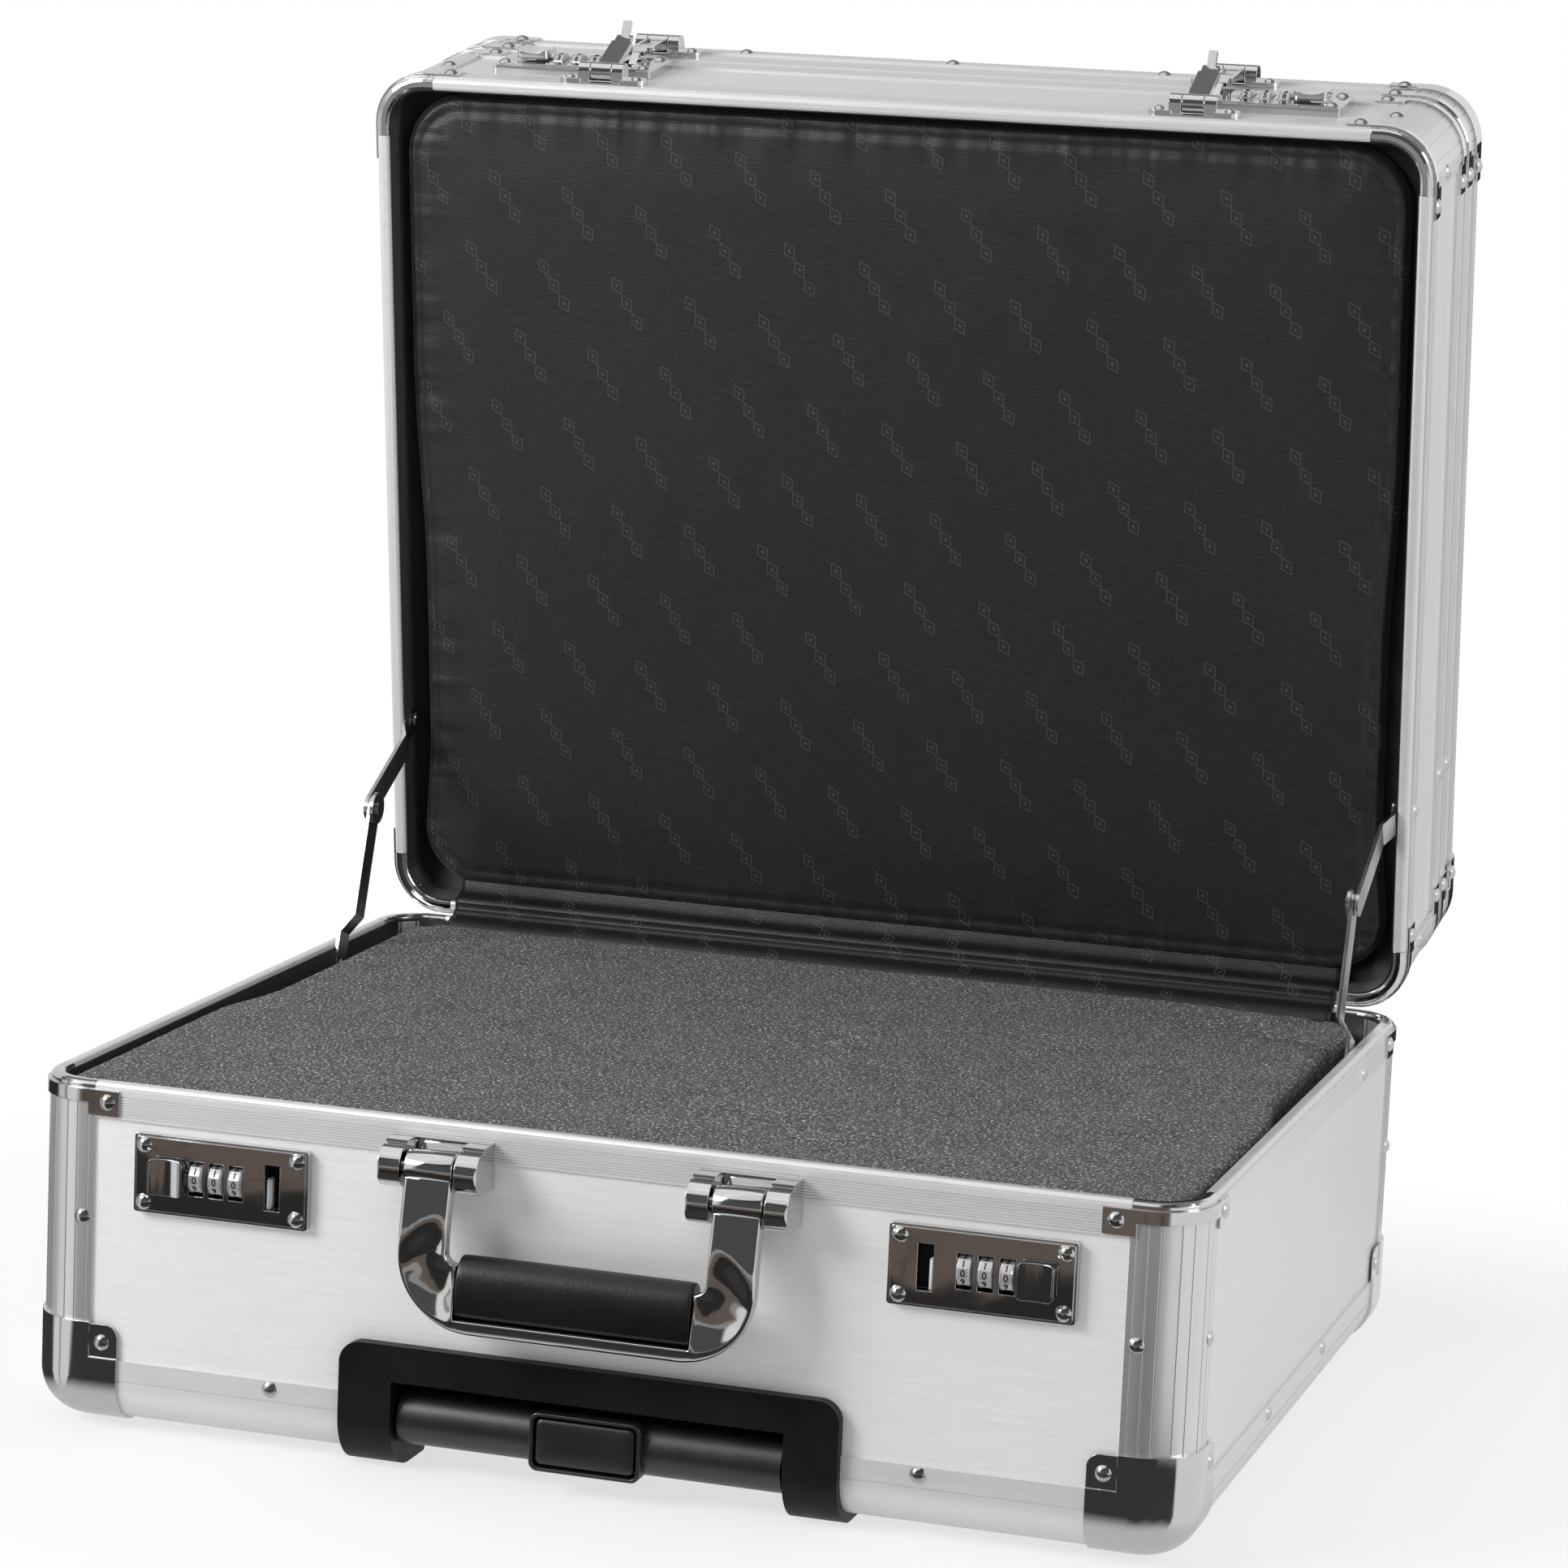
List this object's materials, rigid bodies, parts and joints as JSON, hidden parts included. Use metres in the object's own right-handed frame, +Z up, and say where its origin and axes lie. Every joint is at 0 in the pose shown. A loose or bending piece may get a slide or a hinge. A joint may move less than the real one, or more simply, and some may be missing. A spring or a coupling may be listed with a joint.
{
  "type": "laptop hard case",
  "caption": "Aluminium-framed hard case with foam-filled base, padded lid, laptop compartment in the lid, locks, hasps, carry handle, trolley handle and wheels.",
  "frame": {"origin": "centre of the base's bottom panel, on its outer face", "axes": "+X to the right, +Y to the hinges, +Z up; drawn with the lid open"},
  "size_m": [0.4702, 0.5181, 0.5453],
  "materials": {
    "panel": "brushed, satin",
    "frame": "polished extrusion",
    "cap": "polished plated pressing",
    "rivet": "domed, polished",
    "lock": "polished casting",
    "dial": "plated, numbered",
    "hardware": "plated steel",
    "stay": "flat plated strip",
    "tube": "drawn tube",
    "grip": "fine grain, black",
    "trolley_black": "moulded, black",
    "button": "moulded, black",
    "wheel": "moulded, dark",
    "foam": "recycled foam, charcoal speckle",
    "lining": "padded black satin",
    "hinge": "rolled strip"
  },
  "bodies": {
    "base": {"base_panels": "panel", "base_posts": "frame", "base_rails": "frame", "base_corners": "cap", "base_rivets": "rivet", "base_foam": "foam", "base_locks": "lock", "handle_brackets": "hardware", "trolley_bezel": "trolley_black", "trolley_outer_tubes": "tube", "wheel_housings": "trolley_black", "base_hinge": "hinge"},
    "handle": {"handle_bow": "hardware", "handle_grip": "grip"},
    "trolley_tubes": {"trolley_middle_tubes": "tube"},
    "trolley": {"trolley_inner_tubes": "tube", "trolley_grip": "trolley_black"},
    "trolley_button": {"trolley_button": "button"},
    "left_wheel": {"left_wheel": "wheel"},
    "right_wheel": {"right_wheel": "wheel"},
    "lid": {"lid_panels": "panel", "lid_frame": "frame", "lid_corners": "cap", "lid_rivets": "rivet", "lid_lining": "lining", "lid_locks": "lock", "lid_hinges": "hinge", "lid_hasp_brackets": "hardware"},
    "cover": {"cover_panels": "panel", "cover_frame": "frame", "cover_corners": "cap", "cover_rivets": "rivet", "cover_hinge": "hinge", "cover_hasp_brackets": "hardware"},
    "left_hasp": {"left_hasp": "hardware"},
    "right_hasp": {"right_hasp": "hardware"},
    "cover_left_hasp": {"cover_left_hasp": "hardware"},
    "cover_right_hasp": {"cover_right_hasp": "hardware"},
    "left_lower_stay": {"left_lower_stay": "stay"},
    "right_lower_stay": {"right_lower_stay": "stay"},
    "left_upper_stay": {"left_upper_stay": "stay"},
    "right_upper_stay": {"right_upper_stay": "stay"},
    "base_left_slide": {"base_left_slide": "lock"},
    "base_left_dial_1": {"base_left_dial_1": "dial"},
    "base_left_dial_2": {"base_left_dial_2": "dial"},
    "base_left_dial_3": {"base_left_dial_3": "dial"},
    "base_right_slide": {"base_right_slide": "lock"},
    "base_right_dial_1": {"base_right_dial_1": "dial"},
    "base_right_dial_2": {"base_right_dial_2": "dial"},
    "base_right_dial_3": {"base_right_dial_3": "dial"},
    "lid_left_slide": {"lid_left_slide": "lock"},
    "lid_left_dial_1": {"lid_left_dial_1": "dial"},
    "lid_left_dial_2": {"lid_left_dial_2": "dial"},
    "lid_left_dial_3": {"lid_left_dial_3": "dial"},
    "lid_right_slide": {"lid_right_slide": "lock"},
    "lid_right_dial_1": {"lid_right_dial_1": "dial"},
    "lid_right_dial_2": {"lid_right_dial_2": "dial"},
    "lid_right_dial_3": {"lid_right_dial_3": "dial"}
  },
  "joints": [
    {"name": "lid_hinge", "type": "hinge", "parent": "base", "child": "lid", "pos_m": [0, 0.191, 0.136], "axis": [1, 0, 0], "range_deg": [0, 81.6]},
    {"name": "cover_hinge", "type": "hinge", "parent": "lid", "child": "cover", "pos_m": [0, 0.26252, 0.14656], "axis": [-1, 0, 0], "range_deg": [0, 90]},
    {"name": "left_hasp_pivot", "type": "hinge", "parent": "lid", "child": "left_hasp", "pos_m": [-0.13, 0.14238, 0.52002], "axis": [1, 0, 0], "range_deg": [0, 160]},
    {"name": "cover_left_hasp_pivot", "type": "hinge", "parent": "cover", "child": "cover_left_hasp", "pos_m": [-0.13, 0.21667, 0.53099], "axis": [-1, 0, 0], "range_deg": [0, 110]},
    {"name": "right_hasp_pivot", "type": "hinge", "parent": "lid", "child": "right_hasp", "pos_m": [0.13, 0.14238, 0.52002], "axis": [1, 0, 0], "range_deg": [0, 160]},
    {"name": "cover_right_hasp_pivot", "type": "hinge", "parent": "cover", "child": "cover_right_hasp", "pos_m": [0.13, 0.21667, 0.53099], "axis": [-1, 0, 0], "range_deg": [0, 110]},
    {"name": "handle_swing", "type": "hinge", "parent": "base", "child": "handle", "pos_m": [0, -0.2027, 0.1203], "axis": [-1, 0, 0], "range_deg": [0, 90]},
    {"name": "trolley_lower_slide", "type": "slide", "parent": "base", "child": "trolley_tubes", "axis": [0, -1, 0], "range_m": [0, 0.28]},
    {"name": "trolley_upper_slide", "type": "slide", "parent": "trolley_tubes", "child": "trolley", "axis": [0, -1, 0], "range_m": [0, 0.28]},
    {"name": "trolley_button_press", "type": "slide", "parent": "trolley", "child": "trolley_button", "axis": [0, 1, 0], "range_m": [0, 0.003], "stiffness_N_per_m": 400},
    {"name": "left_wheel_spin", "type": "hinge", "parent": "base", "child": "left_wheel", "pos_m": [-0.169, 0.183, 0.014], "axis": [1, 0, 0], "continuous": true},
    {"name": "right_wheel_spin", "type": "hinge", "parent": "base", "child": "right_wheel", "pos_m": [0.169, 0.183, 0.014], "axis": [1, 0, 0], "continuous": true},
    {"name": "base_left_button_slide", "type": "slide", "parent": "base", "child": "base_left_slide", "axis": [-1, 0, 0], "range_m": [0, 0.003], "stiffness_N_per_m": 500},
    {"name": "base_left_dial_1_turn", "type": "hinge", "parent": "base", "child": "base_left_dial_1", "pos_m": [-0.1612, -0.1908, 0.1029], "axis": [1, 0, 0], "continuous": true},
    {"name": "base_left_dial_2_turn", "type": "hinge", "parent": "base", "child": "base_left_dial_2", "pos_m": [-0.153, -0.1908, 0.1029], "axis": [1, 0, 0], "continuous": true},
    {"name": "base_left_dial_3_turn", "type": "hinge", "parent": "base", "child": "base_left_dial_3", "pos_m": [-0.1448, -0.1908, 0.1029], "axis": [1, 0, 0], "continuous": true},
    {"name": "base_right_button_slide", "type": "slide", "parent": "base", "child": "base_right_slide", "axis": [1, 0, 0], "range_m": [0, 0.003], "stiffness_N_per_m": 500},
    {"name": "base_right_dial_1_turn", "type": "hinge", "parent": "base", "child": "base_right_dial_1", "pos_m": [0.1448, -0.1908, 0.1029], "axis": [1, 0, 0], "continuous": true},
    {"name": "base_right_dial_2_turn", "type": "hinge", "parent": "base", "child": "base_right_dial_2", "pos_m": [0.153, -0.1908, 0.1029], "axis": [1, 0, 0], "continuous": true},
    {"name": "base_right_dial_3_turn", "type": "hinge", "parent": "base", "child": "base_right_dial_3", "pos_m": [0.1612, -0.1908, 0.1029], "axis": [1, 0, 0], "continuous": true},
    {"name": "lid_left_button_slide", "type": "slide", "parent": "lid", "child": "lid_left_slide", "axis": [-1, 0, 0], "range_m": [0, 0.003], "stiffness_N_per_m": 500},
    {"name": "lid_left_dial_1_turn", "type": "hinge", "parent": "lid", "child": "lid_left_dial_1", "pos_m": [-0.1612, 0.17677, 0.51984], "axis": [1, 0, 0], "continuous": true},
    {"name": "lid_left_dial_2_turn", "type": "hinge", "parent": "lid", "child": "lid_left_dial_2", "pos_m": [-0.153, 0.17677, 0.51984], "axis": [1, 0, 0], "continuous": true},
    {"name": "lid_left_dial_3_turn", "type": "hinge", "parent": "lid", "child": "lid_left_dial_3", "pos_m": [-0.1448, 0.17677, 0.51984], "axis": [1, 0, 0], "continuous": true},
    {"name": "lid_right_button_slide", "type": "slide", "parent": "lid", "child": "lid_right_slide", "axis": [1, 0, 0], "range_m": [0, 0.003], "stiffness_N_per_m": 500},
    {"name": "lid_right_dial_1_turn", "type": "hinge", "parent": "lid", "child": "lid_right_dial_1", "pos_m": [0.1448, 0.17677, 0.51984], "axis": [1, 0, 0], "continuous": true},
    {"name": "lid_right_dial_2_turn", "type": "hinge", "parent": "lid", "child": "lid_right_dial_2", "pos_m": [0.153, 0.17677, 0.51984], "axis": [1, 0, 0], "continuous": true},
    {"name": "lid_right_dial_3_turn", "type": "hinge", "parent": "lid", "child": "lid_right_dial_3", "pos_m": [0.1612, 0.17677, 0.51984], "axis": [1, 0, 0], "continuous": true},
    {"name": "left_lower_stay_pivot", "type": "hinge", "parent": "base", "child": "left_lower_stay", "pos_m": [-0.224, 0.1066, 0.1258], "axis": [1, 0, 0], "range_deg": [0, 102.5]},
    {"name": "left_upper_stay_pivot", "type": "hinge", "parent": "lid", "child": "left_upper_stay", "pos_m": [-0.224, 0.18824, 0.22455], "axis": [1, 0, 0], "range_deg": [-104.2, 0]},
    {"name": "right_lower_stay_pivot", "type": "hinge", "parent": "base", "child": "right_lower_stay", "pos_m": [0.224, 0.1066, 0.1258], "axis": [1, 0, 0], "range_deg": [0, 102.5]},
    {"name": "right_upper_stay_pivot", "type": "hinge", "parent": "lid", "child": "right_upper_stay", "pos_m": [0.224, 0.18824, 0.22455], "axis": [1, 0, 0], "range_deg": [-104.2, 0]}
  ],
  "couplings": [
    {"joint": "left_lower_stay_pivot", "follows": "lid_hinge", "ratio": 1.2467},
    {"joint": "left_upper_stay_pivot", "follows": "lid_hinge", "ratio": -1.267},
    {"joint": "right_lower_stay_pivot", "follows": "lid_hinge", "ratio": 1.2467},
    {"joint": "right_upper_stay_pivot", "follows": "lid_hinge", "ratio": -1.267}
  ]
}
